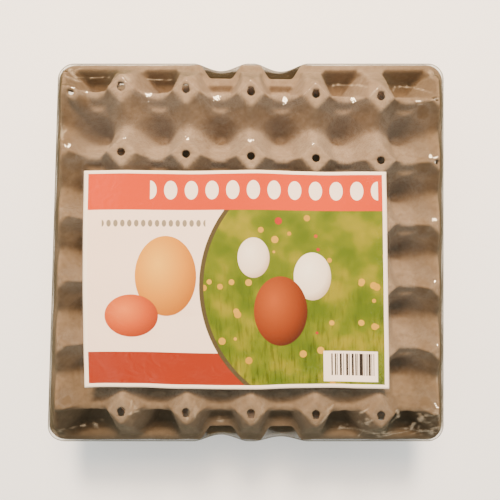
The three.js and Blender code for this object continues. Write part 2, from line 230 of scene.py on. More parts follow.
def tray_mesh(height, cell, margins, holes):
    """A closed pulp shell. The upper sheet is the height function on a grid of cell steps a
    cup, with each square round a vent hole pulled to a circle; the lower sheet has half as many
    lines and lies 1.4 mm along the normal; walls at the rim and in the holes join the two."""
    xs = grid_lines(3 * PITCH_X, HALF_X, 6 * cell, margins[0])
    ys = grid_lines(2.5 * PITCH_Y, HALF_Y, 5 * cell, margins[1])
    x, y = np.meshgrid(xs, ys)
    for px, py, half in holes:
        ox, oy = x - px, y - py
        square, radial = np.maximum(abs(ox), abs(oy)), np.maximum(np.hypot(ox, oy), 1e-6)
        size = half * PITCH_X / cell
        near = 1 - smoothstep(size, size + 6.5, square)
        factor = (1 - near) + near * (square / radial) * (0.66 if half > 2 else 0.85)
        x, y = px + ox * factor, py + oy * factor

    def sheet(x, y):
        z = height(x, y)
        z = z + 0.22 * uneven(x, y, 17, 3) + 0.1 * uneven(x, y, 4.5, 4)
        for px, py, half in holes:
            reach = np.hypot(x - px, y - py)
            z = z - 0.4 * np.exp(-np.maximum(reach - 0.72 * half, 0) / 0.7) * (reach < 12)
        rim = np.minimum(HALF_X - np.abs(x), HALF_Y - np.abs(y))
        return z - 0.7 * np.exp(-rim / 0.8)

    def placed(x, y, depth):
        z = sheet(x, y)
        step = 1.0
        sx = (sheet(x + step, y) - sheet(x - step, y)) / (2 * step)
        sy = (sheet(x, y + step) - sheet(x, y - step)) / (2 * step)
        length = np.sqrt(sx * sx + sy * sy + 1)
        ox, oy = tray_outline(x, y)
        wavy = 0.35 * smoothstep(125, 147, np.abs(y)) + 0.35 * smoothstep(130, 150, np.abs(x))
        ox = ox + wavy * uneven(x, y, 21, 5) + depth * sx / length
        oy = oy + wavy * uneven(x, y, 19, 6) + depth * sy / length
        return np.stack([ox, oy, z - depth / length], -1), np.stack([x, y], -1)

    rows, columns = x.shape
    upper, flat_upper = placed(x, y, 0.0)
    lower, flat_lower = placed(x[::2, ::2], y[::2, ::2], THICKNESS)
    solid = np.ones((rows - 1, columns - 1), bool)
    rings = [(0, columns - 1, 0, rows - 1, 1)]
    for px, py, half in holes:
        i, j = np.argmin(abs(xs - px)), np.argmin(abs(ys - py))
        solid[j - half:j + half, i - half:i + half] = False
        rings.append((i - half, i + half, j - half, j + half, -1))
    quads = [grid_quads(rows, columns, solid)]
    low_columns = lower.shape[1]
    start = rows * columns
    quads.append(grid_quads(*lower.shape[:2], solid[::2, ::2])[:, ::-1] + start)
    triangles = []
    for left, right, front, back, way in rings:
        fine = ring_indices(columns, left, right, front, back)[::way]
        fine = np.roll(fine, 1) if way < 0 else fine
        coarse = ring_indices(low_columns, left // 2, right // 2, front // 2, back // 2)[::way]
        coarse = (np.roll(coarse, 1) if way < 0 else coarse) + start
        a, m, b = fine[::2], fine[1::2], np.roll(fine, -2)[::2]
        c, d = coarse, np.roll(coarse, -1)
        triangles += [np.stack(t, -1) for t in ((a, c, m), (m, c, d), (m, d, b))]
    points = np.concatenate([upper.reshape(-1, 3), lower.reshape(-1, 3)])
    flat = np.concatenate([flat_upper.reshape(-1, 2), flat_lower.reshape(-1, 2)])
    return points, quads + triangles, flat


def grid_quads(rows, columns, keep=None):
    """Quads of a grid of points, upward where rows run along +Y and columns along +X."""
    a = (np.arange(rows - 1)[:, None] * columns + np.arange(columns - 1)[None, :])
    quads = np.stack([a, a + 1, a + columns + 1, a + columns], -1)
    return quads[keep] if keep is not None else quads.reshape(-1, 4)


# ======================= meshes into Blender =======================

def add_piece(name, points, faces, material, replaces, flat=None):
    """Makes a smooth mesh object from points in mm in the tray frame and index arrays of
    triangles or quads, and puts it in the pack's frame. Flat coordinates go to a UV map."""
    points = (np.asarray(points, float) + (SHIFT_X, 0, 0)) * 0.001
    mesh = bpy.data.meshes.new(name)
    loops = np.concatenate([f.reshape(-1) for f in faces])
    sizes = np.concatenate([np.full(len(f), f.shape[1]) for f in faces])
    mesh.vertices.add(len(points))
    mesh.vertices.foreach_set("co", points.reshape(-1))
    mesh.loops.add(len(loops))
    mesh.loops.foreach_set("vertex_index", loops)
    mesh.polygons.add(len(sizes))
    mesh.polygons.foreach_set("loop_start", np.concatenate([[0], np.cumsum(sizes)[:-1]]))
    mesh.polygons.foreach_set("use_smooth", np.ones(len(sizes), bool))
    if flat is not None:
        uv = mesh.uv_layers.new(name="flat")
        uv.data.foreach_set("uv", (flat[loops] * 0.001).reshape(-1))
    mesh.update(calc_edges=True)
    mesh.validate()
    mesh.materials.append(material)
    piece = bpy.data.objects.new(name, mesh)
    bpy.context.scene.collection.objects.link(piece)
    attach(piece, "root")
    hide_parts(replaces)
    return piece


def linear(code):
    """An sRGB hex colour as linear RGBA."""
    values = [int(code[i:i + 2], 16) / 255 for i in (1, 3, 5)]
    return tuple(v / 12.92 if v < 0.04045 else ((v + 0.055) / 1.055) ** 2.4 for v in values) + (1,)


def node(tree, kind, links=None, **settings):
    """Adds a node. A setting is an attribute; a link's key is an input's name or number, and
    its value is another node's output, or a number or colour for the socket itself."""
    made = tree.nodes.new(kind)
    for key, value in settings.items():
        setattr(made, key, value)
    for key, value in (links or {}).items():
        if isinstance(value, bpy.types.NodeSocket):
            tree.links.new(value, made.inputs[key])
        else:
            made.inputs[key].default_value = value
    return made


def new_material(name):
    material = bpy.data.materials.new(name)
    material.use_nodes = True
    material.node_tree.nodes.clear()
    return material, material.node_tree


def ramp(tree, value, stops):
    """A colour ramp: stops are (position, hex colour)."""
    made = node(tree, "ShaderNodeValToRGB", {0: value})
    while len(made.color_ramp.elements) < len(stops):
        made.color_ramp.elements.new(0.5)
    for element, (position, code) in zip(made.color_ramp.elements, stops):
        element.position = position
        element.color = linear(code)
    return made.outputs["Color"]


def noise(tree, place, scale, detail, roughness=0.5):
    """Cloudy noise of about 0 to 1, its blotches about 1 / scale metres across."""
    return node(tree, "ShaderNodeTexNoise", {
        "Vector": place, "Scale": scale, "Detail": detail, "Roughness": roughness}).outputs[0]


def relief(tree, height, strength, distance, **links):
    """A normal bumped by a height, for the given distance in metres."""
    return node(tree, "ShaderNodeBump", {
        "Height": height, "Strength": strength, "Distance": distance, **links}).outputs[0]


def remap(tree, value, start, end, low=0.0, high=1.0):
    """Maps start to end onto low to high and stays level beyond them."""
    return node(tree, "ShaderNodeMapRange", {
        "Value": value, "From Min": start, "From Max": end,
        "To Min": low, "To Max": high}).outputs[0]


def math_node(tree, operation, a, b=0.0, c=0.0, **settings):
    return node(tree, "ShaderNodeMath", {0: a, 1: b, 2: c}, operation=operation,
                **settings).outputs[0]


def blend(tree, factor, under, over, **settings):
    """One colour over another. A setting is an attribute of the mix node."""
    return node(tree, "ShaderNodeMix", {"Factor": factor, 6: under, 7: over},
                data_type="RGBA", **settings).outputs[2]


def multiply(tree, factor, under, over):
    return blend(tree, factor, under, over, blend_type="MULTIPLY")


def mix_shader(tree, factor, first, second):
    return node(tree, "ShaderNodeMixShader", {0: factor, 1: first, 2: second}).outputs[0]


def end_material(material, tree, surface):
    node(tree, "ShaderNodeOutputMaterial", {"Surface": surface})
    return material


# ======================= materials =======================

def pulp_material():
    """Moulded pulp: recycled newsprint fibre sucked onto a mesh mould and dried. Matt, warm
    grey-beige, cloudy at a few centimetres, with pale and dark fibre flecks and a felted grain
    about 1 mm across. Painted shade: the front margin and the lower tray's foot are darker by up to
    a half and the two ends by three tenths, shade painted into the colour for a room that is darker
    there."""
    material, t = new_material("moulded pulp")
    place = node(t, "ShaderNodeTexCoord").outputs["Object"]
    tone = ramp(t, noise(t, place, 28, 3, 0.55), [(0.35, "#877667"), (0.65, "#907F6F")])
    fleck = ramp(t, noise(t, place, 900, 4, 0.7), [(0.28, "#7A6450"), (0.4, "#FFFFFF")])
    shade = ramp(t, noise(t, place, 260, 3, 0.6), [(0.3, "#DCD6CE"), (0.7, "#FFFFFF")])
    colour = multiply(t, 0.8, multiply(t, 0.55, tone, fleck), shade)
    x, y, z = node(t, "ShaderNodeSeparateXYZ", {0: place}).outputs
    # Painted shade: the colour is made darker toward the front margin, including the label's shadow
    # there, toward the two ends and toward the foot of the lower tray.
    front = remap(t, y, -0.138, -0.095)
    ends = remap(t, math_node(t, "ABSOLUTE", x), 0.092, 0.132)
    foot = remap(t, z, 0.0, 0.05)
    for value, stops in (
        (front, [(0.0, "#BCBAB4"), (0.4, "#CFCCC6"), (0.75, "#E8E6E0"), (1.0, "#FFFFFF")]),
        (ends, [(0.0, "#FFFFFF"), (1.0, "#DEDBD4")]),
        (foot, [(0.0, "#C8C5BC"), (0.5, "#D4D1C8"), (1.0, "#FFFFFF")]),
    ):
        colour = multiply(t, 1.0, colour, ramp(t, value, stops))
    lumps = relief(t, noise(t, place, 160, 2), 0.35, 0.0012)
    grain = relief(t, noise(t, place, 750, 3, 0.6), 0.3, 0.0004, Normal=lumps)
    shader = node(t, "ShaderNodeBsdfPrincipled", {
        "Base Color": colour, "Roughness": 0.92, "Specular IOR Level": 0.25, "Normal": grain})
    return end_material(material, t, shader.outputs[0])


def shell_material(name, code):
    """Brown eggshell: calcite with a thin dry cuticle. Satin, with fine pores and darker
    freckles, paler where the pigment is thin."""
    material, t = new_material(name)
    place = node(t, "ShaderNodeTexCoord").outputs["Object"]
    tone = blend(t, noise(t, place, 60, 3), linear(code), linear("#D9AE88"))
    freckles = ramp(t, noise(t, place, 420, 2, 0.6), [(0.28, "#8A5532"), (0.36, "#FFFFFF")])
    pores = relief(t, noise(t, place, 1600, 1), 0.12, 0.0003)
    shader = node(t, "ShaderNodeBsdfPrincipled", {
        "Base Color": multiply(t, 0.6, tone, freckles), "Roughness": 0.48, "Normal": pores})
    return end_material(material, t, shader.outputs[0])


def film_material():
    """Clear polyolefin shrink film, 0.02 mm thick: transparent, with a mirror-like skin that is
    weakest, 4 percent, where it is seen square on and grows with the fifth power of the slant, and
    fine shrink ripples a few millimetres long. Painted shade: an olive veil, a dark diffuse layer
    where the film is seen edge on, most of all round the sides and below the lower rim, darkens the
    film's edges and what is seen through its sides. Painted highlight: the creases are whitened
    with a pale diffuse colour in place of the bright lines that light makes along the folds."""
    material, t = new_material("polyolefin shrink film")
    place = node(t, "ShaderNodeTexCoord").outputs["Object"]
    ripple = node(t, "ShaderNodeTexNoise", {
        "Vector": place, "Scale": 120, "Detail": 3, "Distortion": 0.9})
    rippled = relief(t, ripple.outputs[0], 0.35, 0.0009)
    slant = node(t, "ShaderNodeLayerWeight", {"Blend": 0.5, "Normal": rippled}).outputs["Facing"]
    strength = math_node(t, "MULTIPLY_ADD", math_node(t, "POWER", slant, 5.0), 0.95, 0.038)
    clear = node(t, "ShaderNodeBsdfTransparent", {"Color": linear("#FAFAF7")}).outputs[0]
    gloss = node(t, "ShaderNodeBsdfGlossy", {
        "Color": linear("#D8D4C8"), "Roughness": 0.055, "Normal": rippled}).outputs[0]
    skin = mix_shader(t, strength, clear, gloss)
    level = node(t, "ShaderNodeSeparateXYZ", {0: place}).outputs[2]
    # Painted shade: a dark olive diffuse veil, strongest where the film is seen edge on, six times
    # as strong round the sides below the cover's rim and raised by four tenths below the base
    # tray's rim, so that the film's edges and what is seen through its sides look dark.
    side = remap(t, level, 0.0675, 0.0705, 6.0, 1.2)
    skirt = remap(t, level, 0.0215, 0.0245, 0.4, 0.04)
    edge = node(t, "ShaderNodeLayerWeight", {"Blend": 0.5}).outputs["Facing"]
    veil = math_node(t, "MULTIPLY_ADD", math_node(t, "POWER", edge, 6.0), side, skirt,
                     use_clamp=True)
    painted_shade_veil = node(t, "ShaderNodeBsdfDiffuse", {"Color": linear("#4E4634")}).outputs[0]
    # Painted highlight: along the creases and crumples a pale diffuse colour stands in for the
    # bright lines that light makes on the film's folds.
    highlight_share = node(t, "ShaderNodeAttribute", attribute_name="crease_highlight").outputs["Fac"]
    white = node(t, "ShaderNodeBsdfDiffuse", {"Color": linear("#D8C8B0")}).outputs[0]
    surface = mix_shader(t, highlight_share, mix_shader(t, veil, skin, painted_shade_veil), white)
    return end_material(material, t, surface)


def label_material():
    """Coated label paper printed in offset: satin, white at the borders, with fields of
    orange, cream and meadow green."""
    material, t = new_material("printed label paper")
    flat = node(t, "ShaderNodeUVMap", uv_map="flat").outputs[0]
    u, v, _ = node(t, "ShaderNodeSeparateXYZ", {0: flat}).outputs

    def maths(operation, a, b):
        return math_node(t, operation, a, b)

    def inside(left, right, front, back):
        """1 inside a rectangle of the label, in mm from its front left corner."""
        wide = math_node(t, "COMPARE", u, (left + right) / 2000, (right - left) / 2000)
        deep = math_node(t, "COMPARE", v, (front + back) / 2000, (back - front) / 2000)
        return maths("MULTIPLY", wide, deep)

    def oval(centre, half, source=flat):
        """Distance from an oval's centre, 1 on its edge."""
        moved = node(t, "ShaderNodeMapping", {
            "Vector": source, "Location": (-centre[0] / half[0], -centre[1] / half[1], 0),
            "Scale": (1000 / half[0], 1000 / half[1], 0)})
        length = node(t, "ShaderNodeVectorMath", {0: moved.outputs[0]}, operation="LENGTH")
        return length.outputs["Value"]

    def paint(under, mask, over):
        return blend(t, mask, under, over)

    def paint_egg(under, centre, half, spread, stops):
        """A plain egg, lightest toward its upper left."""
        light = (centre[0] - half[0] * 0.25, centre[1] + half[1] * 0.3)
        shade = ramp(t, oval(light, (half[0] * spread, half[1] * spread)), stops)
        return paint(under, maths("LESS_THAN", oval(centre, half), 1.0), shade)

    def repeated(start, period):
        """The label's coordinates, but repeating along X; start and period in mm."""
        folded = maths("PINGPONG", maths("SUBTRACT", u, start / 1000), period / 2000)
        return node(t, "ShaderNodeCombineXYZ", {0: folded, 1: v}).outputs[0]

    # Meadow: soft green with upright grass streaks, yellow flower heads and a few red ones.
    blades = node(t, "ShaderNodeMapping", {
        "Vector": flat, "Scale": (420, 60, 1), "Rotation": (0, 0, 0.12)})
    field = ramp(t, noise(t, flat, 45, 2), [(0.35, "#4E6208"), (0.5, "#606E0A"), (0.68, "#868210")])
    grass = ramp(t, noise(t, blades.outputs[0], 1.0, 3, 0.6), [(0.35, "#8E9A50"), (0.5, "#FFFFFF")])
    low = maths("MULTIPLY", maths("SUBTRACT", 0.11, v), 7.0)
    grassy = blend(t, low, field, grass, blend_type="MULTIPLY", clamp_factor=True)
    cells = node(t, "ShaderNodeTexVoronoi", {"Vector": flat, "Scale": 95, "Randomness": 1.0})
    pick = node(t, "ShaderNodeSeparateColor", {0: cells.outputs["Color"]})
    heads = maths("MULTIPLY", maths("LESS_THAN", cells.outputs["Distance"], 0.26),
                  maths("GREATER_THAN", pick.outputs[0], 0.55))
    flower = ramp(t, pick.outputs[1], [(0.0, "#B88A10"), (0.7, "#C89C24"), (0.9, "#A82818")])
    meadow = paint(grassy, heads, flower)
    for centre, half, stops in (
        ((128, 98), (12, 15), [(0.0, "#FBF3EA"), (0.75, "#E9D9CB"), (1.0, "#C9AE9C")]),
        ((172, 84), (14, 18), [(0.0, "#FFFAF2"), (0.75, "#EFE2D6"), (1.0, "#C4B09C")]),
        ((148, 58), (20, 26), [(0.0, "#A8501C"), (0.7, "#7A3008"), (1.0, "#481A06")]),
    ):
        meadow = paint_egg(meadow, centre, half, 1.35, stops)

    # Left panel: cream with two plain eggs and their soft shadows.
    panel = node(t, "ShaderNodeRGB").outputs[0]
    panel.default_value = linear("#FFE9DE")
    for centre, half, stops in (
        ((62, 84), (23, 30), [(0.0, "#E8B040"), (0.6, "#D08818"), (1.0, "#A8600C")]),
        ((36, 54), (20, 16), [(0.0, "#E07838"), (0.6, "#BC4E18"), (1.0, "#8C3010")]),
    ):
        under = oval((centre[0] + 4, centre[1] - half[1] * 0.92), (half[0] * 1.1, 5.0))
        shadow = ramp(t, under, [(0.2, "#6A6A6A"), (1.0, "#000000")])
        panel = paint(panel, shadow, linear("#D89A7C"))
        panel = paint_egg(panel, centre, half, 1.4, stops)

    # A bead line under the header, and the lower orange band.
    bead = maths("LESS_THAN", oval((0, 123.5), (1.7, 2.6), repeated(14, 5.2)), 1.0)
    line = maths("MULTIPLY", bead, inside(14, 92, 118, 129))
    panel = paint(panel, line, linear("#8A8070"))
    panel = paint(panel, inside(0, 230, 0, 26.8), linear("#902808"))

    # The round divider, the header with its row of white ovals, the bar box and the border.
    ring = oval((184.2, 75.9), (97.1, 97.1))
    sheet = paint(panel, maths("LESS_THAN", ring, 1.0), linear("#4A4028"))
    sheet = paint(sheet, maths("LESS_THAN", ring, 1 - 3.2 / 97.1), meadow)
    header = ramp(t, noise(t, flat, 12, 1), [(0.3, "#C43A0A"), (0.7, "#CC400C")])
    white = maths("LESS_THAN", oval((0, 148.5), (5.0, 7.0), repeated(50, 15.6)), 1.0)
    row = maths("MULTIPLY", white, inside(50, 222, 139, 158))
    header = paint(header, row, linear("#FFF0E6"))
    sheet = paint(sheet, inside(0, 230, 133.5, 170), header)
    sheet = paint(sheet, inside(179.4, 220.1, 4.9, 27.9), linear("#FFF0E8"))
    stripes = node(t, "ShaderNodeTexWhiteNoise", {
        "W": math_node(t, "FLOOR", maths("MULTIPLY", u, 1900.0))}, noise_dimensions="1D")
    bars = maths("MULTIPLY", maths("GREATER_THAN", stripes.outputs[0], 0.45),
                 inside(183.9, 217.9, 9.5, 26.0))
    sheet = paint(sheet, bars, linear("#241A18"))
    printed = inside(3.2, LABEL_WIDE - 3.2, 3.0, LABEL_DEEP - 2.4)
    colour = paint(linear("#FFF1E6"), printed, sheet)

    tooth = relief(t, noise(t, flat, 1200, 2), 0.08, 0.0002)
    shader = node(t, "ShaderNodeBsdfPrincipled", {
        "Base Color": colour, "Roughness": 0.55, "Specular IOR Level": 0.2, "Normal": tooth})
    return end_material(material, t, shader.outputs[0])


# ======================= the eggs =======================

def egg_mesh(scale, turn, seed):
    """A hen's egg, pointed end down: two half ellipses that meet at the widest ring, 41.6 mm
    across and 56 mm long, with up to 0.25 mm of unevenness; the poles are single points."""
    rings, sides = 34, 48
    angle = np.linspace(0, np.pi, rings + 2)[1:-1]
    reach = -np.cos(angle)
    z = EGG_BELOW + np.where(reach < 0, EGG_BELOW, EGG_ABOVE) * reach
    radius = EGG_RADIUS * np.sin(angle)
    around = np.linspace(0, 2 * np.pi, sides, endpoint=False) + turn
    x = radius[:, None] * np.cos(around)
    y = radius[:, None] * np.sin(around)
    zz = np.repeat(z[:, None], sides, 1)
    swell = 1 + 0.006 * uneven(x + 3 * seed, y + zz, 19, 100 + seed)
    body = np.stack([x * swell, y * swell, zz], -1).reshape(-1, 3)
    points = np.concatenate([body, [[0, 0, 0], [0, 0, EGG_BELOW + EGG_ABOVE]]]) * scale
    a = np.arange(rings - 1)[:, None] * sides + np.arange(sides)
    b = np.arange(rings - 1)[:, None] * sides + (np.arange(sides) + 1) % sides
    quads = np.stack([a, b, b + sides, a + sides], -1).reshape(-1, 4)
    k = np.arange(sides)
    low = np.stack([np.full(sides, rings * sides), (k + 1) % sides, k], -1)
    last = (rings - 1) * sides
    high = np.stack([np.full(sides, rings * sides + 1), last + k, last + (k + 1) % sides], -1)
    return points, [quads, low, high]


def egg_rest(scale):
    """How high above the tray's floor an egg's tip comes to rest: the largest excess of the
    cup's surface over the egg's underside, 31 (1 - sqrt(1 - (r / R)^2))."""
    x, y = np.meshgrid(np.linspace(-20, 20, 81), np.linspace(-20, 20, 81))
    share = np.minimum(np.hypot(x, y) / (EGG_RADIUS * scale), 1.0)
    under = EGG_BELOW * scale * (1 - np.sqrt(1 - share ** 2))
    return float(np.max(np.where(share < 1, mould_height(x + PITCH_X / 2, y) - under, 0.0)))


# ======================= the label =======================

def label_height(x, y):
    """The label lies on the post tops, sags up to 0.5 mm between them and lifts a little in
    long waves along its free edges. Height above the tray's floor."""
    sag_x = 0.125 * (1 - np.cos(2 * np.pi * x / PITCH_X))
    sag_y = 0.125 * (1 - np.cos(2 * np.pi * (y / PITCH_Y - 0.5)))
    edge = smoothstep(42, 58, y) + smoothstep(-82, -97, y)
    wave = 0.35 * np.sin(x / 11.0 + 1.0) * edge + 0.2 * np.sin(x / 5.3) * edge
    return LABEL_REST - sag_x - sag_y + wave + 0.12 * uneven(x, y, 24, 11)


def label_mesh():
    """A thin sheet on a grid between the four corners, with its edges bowed as cut and
    pulled: an upper face, a lower face 0.15 mm below it, and a wall round the edge."""
    columns, rows = 153, 109
    u, v = np.meshgrid(np.linspace(0, 1, columns), np.linspace(0, 1, rows))
    (ax, ay), (bx, by), (cx, cy), (dx, dy) = LABEL_CORNERS
    x = ax * (1 - u) * (1 - v) + bx * u * (1 - v) + cx * u * v + dx * (1 - u) * v
    y = ay * (1 - u) * (1 - v) + by * u * (1 - v) + cy * u * v + dy * (1 - u) * v
    x = x - 1.2 * np.sin(np.pi * v) * (1 - u)
    front_bow = 0.7 * np.sin(9 * u + 0.5) * (1 - v) * (1 - smoothstep(0.2, 0.8, v))
    y = y + 0.8 * np.sin(np.pi * u) * v + front_bow
    y = y + 0.4 * np.sin(14 * u) * smoothstep(0.6, 1.0, v)
    z = label_height(x, y)
    upper = np.stack([x, y, z], -1).reshape(-1, 3)
    lower = upper - (0, 0, 0.15)
    flat = np.stack([u * LABEL_WIDE, v * LABEL_DEEP], -1).reshape(-1, 2)
    quads = grid_quads(rows, columns)
    ring = ring_indices(columns, 0, columns - 1, 0, rows - 1)
    after, count = np.roll(ring, -1), rows * columns
    wall = np.stack([ring, ring + count, after + count, after], -1)
    faces = [quads, quads[:, ::-1] + count, wall]
    return np.concatenate([upper, lower]), faces, np.concatenate([flat, flat])


# ======================= the film =======================

# Bends and tucks of the film, from (x, y) to (x, y), and how far each stands up.
CREASES = [
    (-130.3, 127.3, -119.2, 127.6, 0.45), (-119.2, 127.6, -110.4, 127.6, 0.45),
    (-110.4, 127.6, -105.3, 126.2, 0.45), (-105.3, 126.2, -103.3, 123.4, 0.45),
    (-77.0, 126.8, -68.4, 126.8, 0.45), (-68.4, 126.8, -59.8, 125.3, 0.45),
    (-59.8, 125.3, -54.5, 124.4, 0.45), (-37.6, 123.0, -22.1, 124.7, 0.3),
    (-22.1, 124.7, -6.6, 123.0, 0.3), (21.4, 123.7, 48.0, 123.7, 0.25),
    (58.3, 121.3, 60.5, 124.1, 0.5), (60.5, 124.1, 65.0, 125.8, 0.5),
    (65.0, 125.8, 74.6, 125.8, 0.5), (74.6, 125.8, 80.2, 125.0, 0.5),
    (80.2, 125.0, 85.9, 122.7, 0.5), (103.7, 121.1, 106.0, 124.1, 0.5),
    (106.0, 124.1, 110.5, 125.6, 0.5), (110.5, 125.6, 116.6, 125.9, 0.5),
    (116.6, 125.9, 121.8, 125.2, 0.5), (121.8, 125.2, 127.5, 123.4, 0.5),
    (127.5, 123.4, 132.9, 120.3, 0.5), (-92.8, 125.4, -87.5, 119.5, 0.7),
    (-101.0, 119.6, -93.1, 125.8, 0.4), (123.3, 111.6, 136.6, 116.2, 0.6),
    (143.4, 119.1, 143.4, 108.3, 0.7), (143.8, 102.9, 143.0, 93.6, 0.7),
    (142.6, 20.4, 142.6, 9.6, 0.6), (141.9, -30.4, 141.9, -41.2, 0.6),
    (137.9, -86.9, 138.7, -94.6, 0.6), (-86.0, -107.4, -86.3, -117.6, 0.5),
    (-40.8, -107.4, -40.4, -118.3, 0.6), (79.4, -114.7, 84.5, -110.3, 0.6),
    (104.9, -111.7, 107.9, -119.0, 0.6), (-144.7, 135.2, -130.9, 141.4, 0.7),
    (-138.2, 127.5, -124.8, 121.5, 0.6), (-136.1, 134.3, -130.1, 126.8, 0.6),
    (-142.2, 94.3, -135.4, 77.6, 0.6), (-140.8, 90.3, -142.3, 73.5, 0.6),
    (-135.0, 86.4, -139.5, 80.4, 0.5), (133.2, -111.6, 141.5, -125.2, 0.8),
    (129.5, -131.3, 141.8, -137.5, 0.8), (121.8, -140.5, 138.7, -128.3, 0.6),
    (-145.4, -36.1, -143.9, -59.0, 0.4), (-146.9, -109.2, -140.8, -127.5, 0.6),
    (-137.8, -135.1, -122.5, -130.5, 0.5), (56.1, -113.2, 48.8, -124.1, 0.6),
    (59.6, -108.5, 53.8, -112.8, 0.5), (58.3, -110.3, 51.0, -120.5, 0.4),
    (8.0, -109.6, 2.9, -123.4, 0.4), (10.9, -108.8, 5.8, -121.9, 0.35),
    (65.9, -130.5, 84.0, -132.0, 0.5), (84.6, -132.8, 94.4, -135.1, 0.5),
    (102.0, -122.7, 106.4, -116.9, 0.7), (106.4, -112.5, 108.6, -118.3, 0.9),
    (83.5, -134.4, 82.0, -143.6, 0.5), (92.7, -135.9, 101.9, -143.6, 0.5),
    (88.1, -135.9, 108.1, -137.5, 0.5), (101.9, -140.5, 121.8, -134.4, 0.5),
    (112.6, -131.3, 135.6, -135.9, 0.5), (-87.0, -116.5, -81.9, -115.0, 0.7),
    (-84.5, -109.6, -83.1, -113.2, 0.6), (-43.0, -108.8, -46.6, -121.9, 0.5),
    (-35.8, -109.9, -39.5, -116.5, 0.4), (-111.3, -123.7, -109.0, -125.2, 0.9),
    (-24.9, -124.4, -19.6, -124.8, 0.8), (-91.5, -129.0, -93.0, -137.3, 0.35),
    (-48.4, -128.2, -46.1, -139.6, 0.35), (-151.6, -103.8, -150.9, -116.0, 0.5),
    (-150.9, -76.2, -150.1, -86.9, 0.5),
]
# Crumpled spots: x, y, radius and height.
CRUMPLES = [
    (-139.3, 136.7, 7, 0.5), (-139.2, 82.1, 6, 0.45), (140.2, -134.4, 9, 0.7),
    (138.7, 138.3, 6, 0.4),
    (-144.7, -140.5, 7, 0.5), (-90.5, 122.9, 4, 0.4), (121, -130, 8, 0.6), (101, -136, 7, 0.55),
    (146, -116, 6, 0.6), (66, -127, 6, 0.45), (-118, -132, 6, 0.4), (-20, -124, 5, 0.35),
    (84, -121, 6, 0.5), (128, -117, 7, 0.5),
]


def film_creases(x, y):
    """Narrow ridges h exp(-(distance from the segment / 0.75)^2), broken up along their length
    by noise, and crumpled spots: folds h |noise| under a bell of the spot's radius."""
    total = np.zeros_like(x)
    for k, (x0, y0, x1, y1, height) in enumerate(CREASES):
        along_x, along_y = x1 - x0, y1 - y0
        share = ((x - x0) * along_x + (y - y0) * along_y) / (along_x ** 2 + along_y ** 2)
        share = np.clip(share, 0, 1)
        reach = np.hypot(x - x0 - share * along_x, y - y0 - share * along_y)
        total += height * np.exp(-(reach / 0.75) ** 2) * (0.75 + 0.5 * uneven(x, y, 3.0, 60 + k))
    for x0, y0, radius, height in CRUMPLES:
        bell = np.exp(-((x - x0) ** 2 + (y - y0) ** 2) / radius ** 2)
        folds = 1.6 * np.abs(uneven(x + y, x - y, 4.2, 90)) + uneven(x, y, 2.6, 91)
        total += height * bell * folds
    return total


def film_outline(x, y):
    """The film's edge round the cover's rim: 0.9 mm outside it, drawn in by a smooth bow
    across each finger notch."""
    bow = np.select(
        [(x < 0) & (y > 0), (x >= 0) & (y > 0), (x < 0) & (y <= 0)], [5.9, 6.3, 5.2], 3.8)
    off = np.abs(np.abs(x) - PITCH_X / 2)
    depth = bow * np.where(off < 21, 0.5 + 0.5 * np.cos(np.pi * np.minimum(off, 21) / 21), 0) ** 0.8
    share = np.clip((np.abs(y) - NOTCH_START_Y) / (FILM_Y - NOTCH_START_Y), 0, 1)
    return round_corners(x, y - np.sign(y) * depth * share, FILM_X, FILM_Y, FILM_CORNER)


